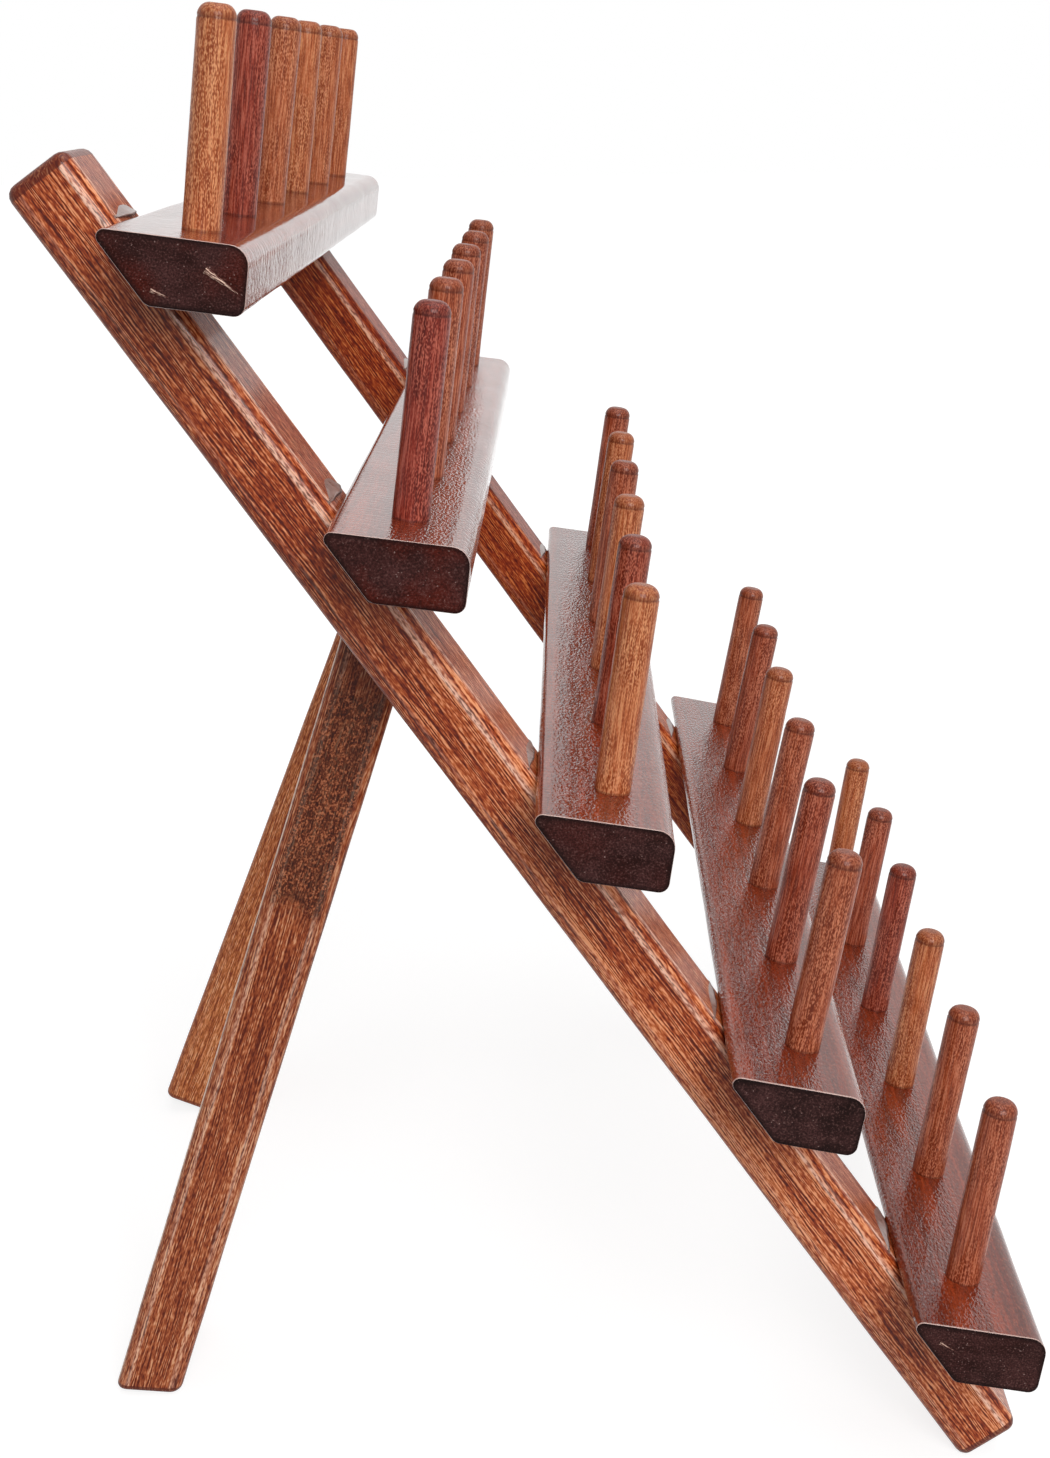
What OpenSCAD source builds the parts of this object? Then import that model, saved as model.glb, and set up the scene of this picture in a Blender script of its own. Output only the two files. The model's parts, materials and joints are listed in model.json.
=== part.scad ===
// Thread rack: sloping shelves of pegs on two rails, propped by two legs that fold in between the rails.
// The floor is z = 0, the pegs lean towards -Y, and the rails lean back towards +Y.

/* [Rails] */
// Length of each rail
rail_len = 320; // [300:1:380]
// Width of a rail, across the rack
rail_w = 22; // [18:0.5:30]
// Depth of a rail, from its front face to its back face
rail_d = 14; // [12:0.5:20]
// Angle of the rails to the floor
rail_angle = 55.3; // [50:0.1:62]
// Distance from a shelf's end to the outer face of the rail
rail_inset = 24.5; // [5:0.5:50]
// Radius of the corners at the rails' ends
rail_corner_r = 3; // [0.5:0.1:5]
// Radius of the long edges of rails and legs
edge_r = 2.5; // [0.5:0.1:4]

/* [Shelves] */
// Number of shelves
shelf_count = 5; // [2:1:5]
// Length of each shelf
shelf_len = 265; // [250:1:340]
// Width of a shelf's top face, from its back edge to its front edge
shelf_top_w = 28; // [26:0.5:40]
// Thickness of a shelf
shelf_t = 12; // [10:0.5:16]
// Slope of the shelves, down towards the front
shelf_angle = 9; // [4:0.5:14]
// Distance between shelves, along the rails
shelf_pitch = 63.75; // [55:0.25:66]
// Distance from the rails' top end to the top shelf's back edge
top_margin = 15; // [5:0.5:30]
// Radius of a shelf's front top edge
front_r = 3.5; // [0.5:0.1:5]
// Radius of a shelf's other long edges
shelf_edge_r = 1.8; // [0.5:0.1:2.5]

/* [Pegs] */
// Number of pegs on a shelf
peg_count = 6; // [2:1:6]
// Distance from a shelf's end to its nearest peg
peg_end = 20; // [12:0.5:28]
// Diameter of a peg
peg_d = 7; // [6.5:0.1:9]
// Radius of a peg's rounded tip
peg_tip_r = 2.5; // [0.5:0.1:3]
// Diameter of the tenon that is glued into the shelf
tenon_d = 6; // [4:0.1:6.2]
// Length of the tenon
tenon_len = 8; // [4:0.5:9]

/* [Shelf 1, at the top] */
// Slope of this hand-fitted shelf past the common slope
lean_angle_1 = -1; // [-3:0.1:3]
// Distance from its back edge to its row of pegs
peg_row_1 = 16.5; // [13:0.1:18]
// Height of its pegs
peg_h_1 = 38.6; // [30:0.1:48]

/* [Shelf 2] */
// Slope of this hand-fitted shelf past the common slope
lean_angle_2 = -1.3; // [-3:0.1:3]
// Distance from its back edge to its row of pegs
peg_row_2 = 15.7; // [13:0.1:18]
// Height of its pegs
peg_h_2 = 39.9; // [30:0.1:48]

/* [Shelf 3] */
// Slope of this hand-fitted shelf past the common slope
lean_angle_3 = -0.2; // [-3:0.1:3]
// Distance from its back edge to its row of pegs
peg_row_3 = 16.2; // [13:0.1:18]
// Height of its pegs
peg_h_3 = 40.4; // [30:0.1:48]

/* [Shelf 4] */
// Slope of this hand-fitted shelf past the common slope
lean_angle_4 = 2.2; // [-3:0.1:3]
// Distance from its back edge to its row of pegs
peg_row_4 = 17.1; // [13:0.1:18]
// Height of its pegs
peg_h_4 = 41.2; // [30:0.1:48]

/* [Shelf 5, at the bottom] */
// Slope of this hand-fitted shelf past the common slope
lean_angle_5 = 0.5; // [-3:0.1:3]
// Distance from its back edge to its row of pegs
peg_row_5 = 14.2; // [13:0.1:18]
// Height of its pegs
peg_h_5 = 39.9; // [30:0.1:48]

/* [Legs] */
// Width of a leg, across the rack
leg_w = 30; // [16:0.5:36]
// Depth of a leg, seen from the side
leg_d = 14; // [12:0.5:18]
// Lean of the left leg from upright, when it is open
left_leg_angle = 18.4; // [14:0.1:26]
// Lean of the right leg from upright, when it is open
right_leg_angle = 21.9; // [14:0.1:26]
// Angle of the left foot's sawn end, off square
left_foot_angle = 14; // [0:0.1:16]
// Angle of the right foot's sawn end, off square
right_foot_angle = 0; // [0:0.1:12]
// Radius of the feet's corners
foot_r = 2; // [0.5:0.1:4]
// Radius of the corners at a leg's top
leg_top_r = 1.5; // [0.5:0.1:2.5]
// Distance from the second shelf's lower back corner down to the left pivot, along the rail
left_pivot_drop = 9; // [6:0.1:14]
// Distance from the second shelf's lower back corner down to the right pivot, along the rail
right_pivot_drop = 6.6; // [6:0.1:14]
// Gap between a folded leg and the shelves' backs
fold_gap = 0.5; // [0.3:0.1:1.5]
// Gap between an open leg's top and the second shelf's back, which stops it
stop_gap = 0.2; // [0.1:0.1:1]

/* [Fasteners] */
// Diameter of the screw that a leg turns on
pivot_d = 4.5; // [3.5:0.1:5.5]
// Depth to which the pivot screw is driven into the rail
pivot_grip = 14; // [8:0.5:16]
// Diameter of the pivot screw's head
pivot_head_d = 9; // [7:0.5:11]
// Height of the pivot screw's head
pivot_head_h = 3; // [2:0.1:4]
// Diameter of the pivot washers
washer_d = 12; // [11:0.5:13]
// Thickness of the pivot washers
washer_t = 1; // [0.8:0.1:3]
// Side play between a leg and its washers
side_play = 0.2; // [0.1:0.05:0.5]
// Diameter of the screws that hold the shelves
shelf_screw_d = 3; // [2.5:0.1:3.5]
// Diameter of the countersunk heads of the shelf screws
shelf_screw_head_d = 6; // [5:0.1:7]
// Depth to which a shelf screw is driven into its shelf
shelf_screw_grip = 9; // [5:0.5:9]
// Distance from a shelf's lower back corner up to its screws, along the rail
shelf_screw_edge = 4; // [3.5:0.1:5]
// Width of the slots in the screws' heads
slot_w = 1; // [0.6:0.1:1.4]
// Depth of the slots in the screws' heads
slot_depth = 1; // [0.5:0.1:1.3]
// Radial clearance around screws and tenons in their holes
hole_clearance = 0.05; // [0.02:0.01:0.08]

/* [Hidden] */
// Steps in each rounded corner
corner_steps = 6;
// Room left past the end of a tenon or a screw in its blind hole
hole_room = 0.5;
// Length by which cutting shapes run past what they cut
cut_past = 5;
$fn = 48;

lean = [lean_angle_1, lean_angle_2, lean_angle_3, lean_angle_4, lean_angle_5];
peg_row = [peg_row_1, peg_row_2, peg_row_3, peg_row_4, peg_row_5];
peg_h = [peg_h_1, peg_h_2, peg_h_3, peg_h_4, peg_h_5];

peg_pitch = (shelf_len - 2 * peg_end) / (peg_count - 1);
peg_r = peg_d / 2;
tenon_r = tenon_d / 2;
pivot_r = pivot_d / 2;
shelf_screw_r = shelf_screw_d / 2;
shelf_screw_head_r = shelf_screw_head_d / 2;
// A countersunk head with sides at 45 degrees
shelf_screw_head_h = shelf_screw_head_r - shelf_screw_r;

rail_x = shelf_len / 2 - rail_inset - rail_w / 2;
rail_inner_x = rail_x - rail_w / 2;
leg_outer_x = rail_inner_x - washer_t - side_play;
leg_inner_x = leg_outer_x - leg_w;
leg_x = leg_outer_x - leg_w / 2;
head_washer_x = leg_inner_x - side_play;

// Places on a rail are [up, out]: up along the rail from its foot, and out from its front face

// A step along a direction of one unit length
function unit(v) = v / norm(v);

// The vector v turned by an angle
function turned(v, angle) = [v.x * cos(angle) - v.y * sin(angle), v.x * sin(angle) + v.y * cos(angle)];

// The points of one corner, rounded to radius r
function corner(before, at, after, r) =
    let (
        back = unit(before - at),
        ahead = unit(after - at),
        half = acos(back * ahead) / 2,
        centre = at + unit(back + ahead) * r / sin(half),
        start = at + back * r / tan(half) - centre,
        sweep = (cross(back, ahead) < 0 ? 1 : -1) * (180 - 2 * half)
    )
    [for (i = [0 : corner_steps]) centre + turned(start, sweep * i / corner_steps)];

// A closed outline with each of its corners rounded to its own radius
function rounded(points, radii) =
    let (n = len(points))
    [for (i = [0 : n - 1]) each corner(points[(i + n - 1) % n], points[i], points[(i + 1) % n], radii[i])];

// A rectangle about the origin with rounded corners
function rounded_rectangle(w, h, r) =
    rounded([[-w / 2, -h / 2], [w / 2, -h / 2], [w / 2, h / 2], [-w / 2, h / 2]], [r, r, r, r]);

function slope_of(k) = shelf_angle + lean[k - 1];
// Angle of a shelf's top to the rail's normal
function bevel_of(k) = 90 - rail_angle + slope_of(k);
function shelf_up(k) = rail_len - top_margin - (k - 1) * shelf_pitch;
function lower_back_up(k) = shelf_up(k) - shelf_t / cos(bevel_of(k));
// Directions on the rail's side view: forwards along a shelf's top, and up along its pegs
function along_top(k) = [-sin(bevel_of(k)), cos(bevel_of(k))];
function along_peg(k) = [cos(bevel_of(k)), sin(bevel_of(k))];

function shelf_outline(k) =
    let (
        back_top = [shelf_up(k), 0],
        front_top = back_top + shelf_top_w * along_top(k),
        front_bottom = front_top - shelf_t * along_peg(k),
        back_bottom = [lower_back_up(k), 0]
    )
    rounded([back_top, front_top, front_bottom, back_bottom], [shelf_edge_r, front_r, shelf_edge_r, shelf_edge_r]);

rail_outline = rounded(
    [[0, -rail_d], [rail_len, -rail_d], [rail_len, 0], [0, 0]],
    [rail_corner_r, rail_corner_r, rail_corner_r, rail_corner_r]
);

// Height and distance back of a place on a rail, from the front corner of the rail's foot
function height(p) = p.x * sin(rail_angle) + p.y * cos(rail_angle);
function setback(p) = p.x * cos(rail_angle) - p.y * sin(rail_angle);

foot_z = -min([for (p = rail_outline) height(p)]);

// Each pivot lies in the middle of its folded leg, which clears the shelves
pivot_out = -leg_d / 2 - fold_gap;
left_pivot = [lower_back_up(2) - left_pivot_drop, pivot_out];
right_pivot = [lower_back_up(2) - right_pivot_drop, pivot_out];
function pivot_of(side) = side < 0 ? left_pivot : right_pivot;
function pivot_z(side) = height(pivot_of(side)) + foot_z;

// The front corner of a foot, so that its rounded edge stands on the floor
function foot_reach(side, lean_angle, cut) =
    let (corner_up = (foot_r + (leg_d / 2 - foot_r) * sin(lean_angle) - pivot_z(side)) / cos(lean_angle))
    foot_r * (1 - sin(cut)) / cos(cut) - corner_up;

// Length of a leg above its pivot, on the line that is y behind the leg's middle
function top_reach(lean_angle, y) =
    (-pivot_out - stop_gap + y * sin(rail_angle - lean_angle)) / cos(rail_angle - lean_angle);

// Side view of a leg standing upright, with its pivot at the origin
function leg_outline(side, lean_angle, cut) =
    let (
        half = leg_d / 2,
        foot = foot_reach(side, lean_angle, cut)
    )
    rounded(
        [
            [-half, -foot],
            [half, -foot - leg_d * tan(cut)],
            [half, top_reach(lean_angle, half)],
            [-half, top_reach(lean_angle, -half)]
        ],
        [foot_r, foot_r, leg_top_r, leg_top_r]
    );

left_leg_outline = leg_outline(-1, left_leg_angle, left_foot_angle);
right_leg_outline = leg_outline(1, right_leg_angle, right_foot_angle);

// The rack is centred front to back on what reaches furthest
front_y = min([
    for (p = rail_outline) setback(p),
    for (k = [1 : shelf_count]) for (p = shelf_outline(k)) setback(p)
]);
leg_back_y = max([
    for (p = left_leg_outline) setback(left_pivot) + turned(p, left_leg_angle).x,
    for (p = right_leg_outline) setback(right_pivot) + turned(p, right_leg_angle).x
]);
rail_back_y = max([for (p = rail_outline) setback(p)]);
back_y = max(leg_back_y, rail_back_y);
foot_y = -(front_y + back_y) / 2;
function pivot_y(side) = setback(pivot_of(side)) + foot_y;

function peg_x(i) = (i - (peg_count + 1) / 2) * peg_pitch;
function peg_base(k) = [shelf_up(k), 0] + peg_row[k - 1] * along_top(k);

// Puts children drawn in a rail's frame, Y up the rail and Z out of its front, in the rack's frame
module on_rail() {
    translate([0, foot_y, foot_z])
        rotate([rail_angle, 0, 0])
            children();
}

// Draws a side view, [Y, Z], as a solid of the given width across the rack, about X = 0
module across(width, outline) {
    translate([-width / 2, 0, 0])
        rotate([90, 0, 90])
            linear_extrude(width)
                polygon(outline);
}

// Places children at each shelf's screw hole in a rail, pointing forwards from the rail's back face
module at_shelf_screws() {
    for (k = [1 : shelf_count])
        translate([0, lower_back_up(k) + shelf_screw_edge, -rail_d])
            children();
}

// A countersunk screw, or with some room around it the hole for it
module shelf_screw_shape(room, past) {
    length = rail_d + shelf_screw_grip + past;
    rotate_extrude()
        polygon([
            [0, 0],
            [shelf_screw_head_r + room, 0],
            [shelf_screw_r + room, shelf_screw_head_h],
            [shelf_screw_r + room, length - shelf_screw_r],
            [0, length]
        ]);
}

module rail_blank() {
    intersection() {
        across(rail_w, rail_outline);
        translate([0, rail_len + cut_past, -rail_d / 2])
            rotate([90, 0, 0])
                linear_extrude(rail_len + 2 * cut_past)
                    polygon(rounded_rectangle(rail_w, rail_d, edge_r));
    }
}

// The rail on one side: -1 for the left, 1 for the right
module rail(side) {
    color("sienna")
        on_rail()
            translate([side * rail_x, 0, 0])
                difference() {
                    rail_blank();
                    at_shelf_screws() shelf_screw_shape(hole_clearance, hole_room);
                    translate([-side * rail_w / 2, pivot_of(side).x, pivot_of(side).y])
                        rotate([0, 90, 0])
                            cylinder(h = 2 * (pivot_grip + hole_room), r = pivot_r + hole_clearance, center = true);
                }
}

module shelf(k) {
    color("saddlebrown")
        on_rail()
            difference() {
                across(shelf_len, shelf_outline(k));
                for (i = [1 : peg_count])
                    translate([peg_x(i), peg_base(k).x, peg_base(k).y])
                        rotate([bevel_of(k) - 90, 0, 0])
                            cylinder(h = 2 * (tenon_len + hole_room), r = tenon_r + hole_clearance, center = true);
                for (side = [-1, 1])
                    translate([side * rail_x, lower_back_up(k) + shelf_screw_edge, -rail_d])
                        shelf_screw_shape(hole_clearance, hole_room);
            }
}

// Peg i, counted from the left, on shelf k, counted from the top
module peg(k, i) {
    tall = peg_h[k - 1];
    tip = [for (a = [0 : corner_steps])
        [peg_r - peg_tip_r + peg_tip_r * cos(90 * a / corner_steps),
         tall - peg_tip_r + peg_tip_r * sin(90 * a / corner_steps)]];
    color("chocolate")
        on_rail()
            translate([peg_x(i), peg_base(k).x, peg_base(k).y])
                rotate([bevel_of(k) - 90, 0, 0])
                    rotate_extrude()
                        polygon(concat(
                            [[0, tall], [0, -tenon_len], [tenon_r, -tenon_len], [tenon_r, 0], [peg_r, 0]],
                            tip
                        ));
}

module leg(side, lean_angle, outline) {
    heights = [for (p = outline) p.y];
    color("sienna")
        translate([side * leg_x, pivot_y(side), pivot_z(side)])
            rotate([lean_angle, 0, 0])
                difference() {
                    intersection() {
                        across(leg_w, outline);
                        translate([0, 0, min(heights) - cut_past])
                            linear_extrude(max(heights) - min(heights) + 2 * cut_past)
                                polygon(rounded_rectangle(leg_w, leg_d, edge_r));
                    }
                    rotate([0, 90, 0])
                        cylinder(h = leg_w + 2 * cut_past, r = pivot_r + hole_clearance, center = true);
                }
}

// Places children at a pivot with Z pointing from the rack's middle out to the rail
module at_pivot(side) {
    translate([0, pivot_y(side), pivot_z(side)])
        rotate([0, side * 90, 0])
            children();
}

// A round-headed screw through the leg and into the rail
module pivot_screw(side) {
    head_x = head_washer_x - washer_t;
    color("silver")
        at_pivot(side)
            difference() {
                union() {
                    translate([0, 0, head_x])
                        cylinder(h = rail_inner_x + pivot_grip - head_x, r = pivot_r);
                    translate([0, 0, head_x - pivot_head_h])
                        cylinder(h = pivot_head_h, r1 = pivot_head_d / 2 - pivot_head_h / 2, r2 = pivot_head_d / 2);
                }
                translate([-slot_w / 2, -pivot_head_d, head_x - pivot_head_h - cut_past])
                    cube([slot_w, 2 * pivot_head_d, slot_depth + cut_past]);
            }
}

// The washers on both sides of a leg
module pivot_washers(side) {
    color("gray")
        at_pivot(side)
            for (face_x = [rail_inner_x, head_washer_x])
                translate([0, 0, face_x - washer_t])
                    difference() {
                        cylinder(h = washer_t, r = washer_d / 2);
                        translate([0, 0, -cut_past])
                            cylinder(h = washer_t + 2 * cut_past, r = pivot_r + hole_clearance);
                    }
}

module shelf_screws(side) {
    color("silver")
        on_rail()
            translate([side * rail_x, 0, 0])
                at_shelf_screws()
                    difference() {
                        shelf_screw_shape(0, 0);
                        translate([-shelf_screw_head_d, -slot_w / 2, -cut_past])
                            cube([2 * shelf_screw_head_d, slot_w, slot_depth + cut_past]);
                    }
}

rail(-1);  // left_rail
rail(1);  // right_rail
for (k = [1 : shelf_count])
    shelf(k);
for (k = [1 : shelf_count])
    for (i = [1 : peg_count])
        peg(k, i);
leg(-1, left_leg_angle, left_leg_outline);  // left_leg
leg(1, right_leg_angle, right_leg_outline);  // right_leg
pivot_screw(-1);  // left_pivot_screw
pivot_screw(1);  // right_pivot_screw
pivot_washers(-1);  // left_pivot_washers
pivot_washers(1);  // right_pivot_washers
shelf_screws(-1);  // left_shelf_screws
shelf_screws(1);  // right_shelf_screws
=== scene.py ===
"""Looks of the thread rack: stained and varnished wood in a white studio.

Sizes are in metres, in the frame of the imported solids. Each wooden piece is modelled in a frame of
its own, with Z along the grain, and then set in place, so that the grain turns with the piece.
"""
import json
import math
import random

import bmesh
import bpy
from mathutils import Matrix, Vector, noise


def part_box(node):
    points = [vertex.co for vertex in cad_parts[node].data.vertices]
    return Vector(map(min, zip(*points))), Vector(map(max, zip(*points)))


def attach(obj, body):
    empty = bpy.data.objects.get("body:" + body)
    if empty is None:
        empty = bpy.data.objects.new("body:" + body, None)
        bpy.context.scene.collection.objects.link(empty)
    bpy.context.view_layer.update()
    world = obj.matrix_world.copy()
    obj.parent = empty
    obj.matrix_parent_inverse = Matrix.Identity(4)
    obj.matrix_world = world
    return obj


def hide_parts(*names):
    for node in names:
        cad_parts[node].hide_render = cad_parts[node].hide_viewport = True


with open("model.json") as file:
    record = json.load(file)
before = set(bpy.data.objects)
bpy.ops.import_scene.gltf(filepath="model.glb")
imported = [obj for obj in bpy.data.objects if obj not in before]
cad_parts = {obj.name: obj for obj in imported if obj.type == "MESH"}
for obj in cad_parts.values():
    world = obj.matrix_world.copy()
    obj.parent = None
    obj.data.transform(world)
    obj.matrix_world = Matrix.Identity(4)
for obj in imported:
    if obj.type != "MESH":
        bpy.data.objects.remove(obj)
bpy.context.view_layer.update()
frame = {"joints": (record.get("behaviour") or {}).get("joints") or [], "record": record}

MM = 0.001
SHELVES = 5
PEGS = 6
SIDES = {"left": -1, "right": 1}
SEED_RANGE = (1, 9)
rng = random.Random(7)
mounts = {mount["name"]: mount for mount in frame["record"]["mounts"]}
joints = {joint["name"]: joint for joint in frame["joints"]}

# Rails: slope and section, roundings of the long edges and the ends, and how pale each long edge is
# from scuffing and a painted highlight, from the left front one round to the left back one
RAIL_ANGLE = math.radians(55.3)
RAIL_LENGTH = 320 * MM
RAIL_DEPTH = 14 * MM
RAIL_EDGE = 2.5 * MM
RAIL_END = 2.3 * MM
RAIL_WEAR_AND_SHEEN = (1.3, 0.8, 0.25, 0.25)
# Rounding of the solid rail's foot, from which the rail's place is found
RAIL_CORNER = 3 * MM
# Room under the uneven feet, so that none reaches below the floor
FOOT_LIFT = 0.3 * MM

# Shelves: the height up the rail of the top one's back top edge, the pitch, and the section with the
# roundings of its corners: back top, back bottom, front bottom and front top
TOP_SHELF_UP = 305 * MM
SHELF_PITCH = 63.75 * MM
SHELF_TOP = 28 * MM
SHELF_THICK = 12 * MM
SHELF_RADII = (1.4 * MM, 2.4 * MM, 2.0 * MM, 3.5 * MM)
# Rounding of the ends, and the dark border round their end grain
SHELF_END = 0.3 * MM
SHELF_END_BORDER = 0.9 * MM
# How red each shelf's end grain is, from the top shelf down
SHELF_END_TONES = (0.6, 1.0, 0.3, 0.0, 0.1)
# Where each shelf's varnish is pebbled, from the top shelf down: from and up to where, measured from
# its back edge, and how deeply
PEBBLES = (
    (12 * MM, 17 * MM, 0.6),
    (12 * MM, 20 * MM, 1.5),
    (4 * MM, 17 * MM, 1.15),
    (-4 * MM, 17 * MM, 0.9),
    (-4 * MM, 17 * MM, 0.8),
)
PEEL_RAMP = 4 * MM
PEEL_LEAST = 0.2
# Wrinkles in the varnish: where those along the front edge start and where they are full, how deep
# they are there, and how deep they are behind the pebbles
CREASE_START = 25.5 * MM
CREASE_FULL = 27.5 * MM
FRONT_CREASES = 1.6
BACK_CREASES = 0.7

# Pegs: rounding of the tip, the crease below it and the neck below that, and how far a peg may lean
PEG_TIP = 2.5 * MM
PEG_CREASE = 0.12 * MM
PEG_NECK = 0.35 * MM
PEG_LEAN = math.radians(0.5)
PEG_BLUNT_RANGE = (0.75, 1.0)
PEG_WARP_DEPTH = 0.07 * MM
PEG_WARP_SCALE = 110
# Rings of points at a peg's foot: share of its radius, height above the shelf, and how dark each is;
# the darkness is pooled stain and a painted shadow where the peg meets the shelf
PEG_FOOT = ((0.98, -1.5 * MM, 0.8), (1.0, 0.0, 0.8), (1.0, 0.28 * MM, 0.7), (1.0, 0.56 * MM, 0.05))
# How dark a peg is higher up, and in the middle of its foot and of its tip
PEG_NECK_SHADE = 0.1
PEG_CREASE_SHADE = 1.0
PEG_SHOULDER_SHADE = 0.6
PEG_DOME_SHADE = 0.45
PEG_MIDDLE_SHADES = [0.5, 0.75]
# Tones of the pegs seen best, 0 orange to 1 purple-brown, by shelf and place; the others vary by chance
PEG_TONE_RANGE = (0.15, 0.8)
PEG_TONES = {
    (1, 1): 0.05, (1, 2): 0.95, (1, 3): 0.35, (1, 4): 0.15,
    (2, 1): 1.0,
    (3, 1): 0.1, (3, 2): 0.85,
    (4, 1): 0.6, (4, 2): 0.8, (4, 3): 0.65, (4, 4): 0.3,
    (5, 1): 0.65, (5, 2): 0.6, (5, 3): 0.2, (5, 4): 0.9, (5, 5): 0.75, (5, 6): 0.15,
}

# Legs: how far each leans from upright, how far its foot is cut from square, then section, roundings
# and pale edges, part scuffing and part painted highlight, as for the rails
LEG_LEAN = {"left": math.radians(18.4), "right": math.radians(21.9)}
FOOT_CUT = {"left": math.radians(14), "right": 0.0}
LEG_WIDTH = 30 * MM
LEG_DEPTH = 14 * MM
LEG_EDGE = 2.5 * MM
LEG_END = 1.6 * MM
LEG_WEAR_AND_SHEEN = (0.35, 0.3, 0.3, 0.35)
# Rounding of the solid leg's foot, and the room that a leg keeps when it is folded and when it is open
FOOT_CORNER = 2 * MM
FOLD_GAP = 0.5 * MM
STOP_GAP = 0.2 * MM
# The stretch of the left leg, measured up from its pivot, that was left rough-sawn; above its top it
# is still rough to some extent
PATCH_BOTTOM = -74 * MM
PATCH_TOP = -13 * MM
PATCH_FADE = 10 * MM
PATCH_LEAST = 0.55
PATCH_EDGE = 1.0 * MM
# The left leg's outer back edge, scuffed pale and given a painted highlight: how far the pale strip
# reaches, and how pale it is
RIM_REACH = 0.2 * MM
RIM_WEAR_AND_SHEEN = 1.8

# Glue that has run out of the corners between rails and shelves: its reach up each rail, from the top
# shelf down, then its other sizes and how uneven it is
GLUE_UP = {
    "left": (2.8 * MM, 4.2 * MM, 1.5 * MM, 1.5 * MM, 4.3 * MM),
    "right": (1.8 * MM, 2.2 * MM, 1.5 * MM, 2.6 * MM, 1.6 * MM),
}
GLUE_WIDE = 19 * MM
GLUE_OUT = 1.1 * MM
GLUE_LEAST = 0.4 * MM
GLUE_SUNK = 1.0 * MM
GLUE_SKIN = 0.15 * MM
GLUE_SKEW = 1.3
GLUE_THIN = 0.2
GLUE_HOLLOW = 0.3
GLUE_LUMPS = 4
GLUE_UNEVEN_UP = 0.3
GLUE_UNEVEN_OUT = 0.4

# Splinters lifted from the shelves' left ends: the shelf, start and end forwards and up, and width
SPLINTERS = (
    (1, (20.7 * MM, -4.7 * MM), (26.6 * MM, -8.0 * MM), 1.3 * MM),
    (1, (11.7 * MM, -9.2 * MM), (15.4 * MM, -10.3 * MM), 0.75 * MM),
    (5, (7.1 * MM, -3.8 * MM), (10.3 * MM, -5.1 * MM), 0.6 * MM),
)
SPLINTER_RISE = 0.16
SPLINTER_SUNK = 0.2 * MM
SPLINTER_TAPER = 0.9
SPLINTER_LUMPS = 5
SPLINTER_UNEVEN = 0.3
# The upper side of a splinter's section, in shares of half its width and of its rise
SPLINTER_CREST = ((1.0, 0.3), (0.2, 1.0), (-1.0, 0.6))

# Screws and washers
HEAD_EDGE = 0.15 * MM
SHANK_POINT = 0.2
SHELF_SCREW_UP = 4 * MM
SHELF_SCREW_HEAD = 3 * MM
SHELF_SCREW_SHANK = 1.5 * MM
SHELF_SCREW_LENGTH = 23 * MM
SHELF_SCREW_RISE = 0.55 * MM
SHELF_SCREW_SLOT = 1.0 * MM
SHELF_SCREW_SLOT_DEPTH = 0.5 * MM
SHELF_SCREW_SUNK = 0.5 * MM
SCREW_SEED = 1.0
PIVOT_SHANK = 2.25 * MM
PIVOT_RISE = 2.8 * MM
PIVOT_SLOT = 1.2 * MM
PIVOT_SLOT_DEPTH = 1.3 * MM
PIVOT_SUNK = 0.0
PIVOT_SEED = 2.0
WASHER_THICK = 1.0 * MM
WASHER_BEVEL = 0.3 * MM
WASHER_PLAY = 0.2 * MM
WASHER_SEED = 3.0

# Steps of the meshes
CORNER_STEPS = 6
FLAT_STEP = 1.6 * MM
RING_STEP = 4 * MM
END_STEPS = 4
END_FADE = 0.2 * MM
ROUND_STEPS = 40
HEAD_STEPS = 6
SLOT_SLANT = 0.03 * MM
WELD = 0.0015 * MM
PEG_STEPS = 10
PEG_TIP_STEPS = 8
PEG_SHOULDER_STEPS = 2
GLUE_STEPS = 14
SPLINTER_STEPS = 10

# Unevenness of the hand-finished wood, and how far from a rounding its pale edge reaches: part
# scuffing and part painted highlight
WARP_DEPTH = 0.10 * MM
WARP_SCALE = 55
EDGE_REACH = 0.5 * MM

# Grain of the rails and legs: the spacing of its lines, how far they drift, the places of its tones,
# and the heights between which a stick gets less pale
GRAIN_PITCH = 0.66 * MM
GRAIN_DRIFT = 40.0
GRAIN_PLACES = (0.32, 0.44, 0.54, 0.64, 0.77)
PALE_FROM = 90 * MM
PALE_TO = 260 * MM

# Relief of the finishes
STICK_RELIEF = 0.15 * MM
PEEL_RELIEF = 0.09 * MM
WAVE_RELIEF = 0.3 * MM
PORE_RELIEF = 0.12 * MM
FLECK_RELIEF = 0.1 * MM
GLUE_RELIEF = 0.25 * MM
TORN_RELIEF = 0.1 * MM
SCRATCH_RELIEF = 0.05 * MM
# How far the colour of a piece's ends, of a border and of a peg's rings covers what is below it
COVER = 0.75

# Studio
FLOOR_HALF = 6.0
FLOOR_NEAR = -0.25
FLOOR_SHADED = 0.25
FLOOR_WHITE = 0.9
FLOOR_LIFT = (0.82, 0.97)
# The world's light falls off from the far side to the camera's, and towards the ceiling
WORLD_TURN = (-0.7, 0.5)
WORLD_NEAR = 0.07
WORLD_FAR = 1.0
CEILING_TURN = (0.25, 0.5)
WORLD_CEILING = 0.3
# Lamps: name, place, the point they are turned to, size and power
LAMPS = (
    ("overhead", (-0.2, -0.3, 1.5), (0, 0, 0.1), 1.2, 10.0),
    ("camera side", (-1.3, -0.35, 0.8), (0, 0, 0.15), 0.9, 18.0),
)

# Camera, where the photograph was taken from
IMAGE_HEIGHT = 1458
FOCAL_PIXELS = 2196.16
SENSOR = 24.0
CAMERA_PLACE = Vector((-0.5095, -0.0132, 0.2807))
CAMERA_LOOK = Vector((0.95817, 0.02330, -0.28526))
CAMERA_UP = Vector((0.28554, -0.00949, 0.95832))


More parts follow.
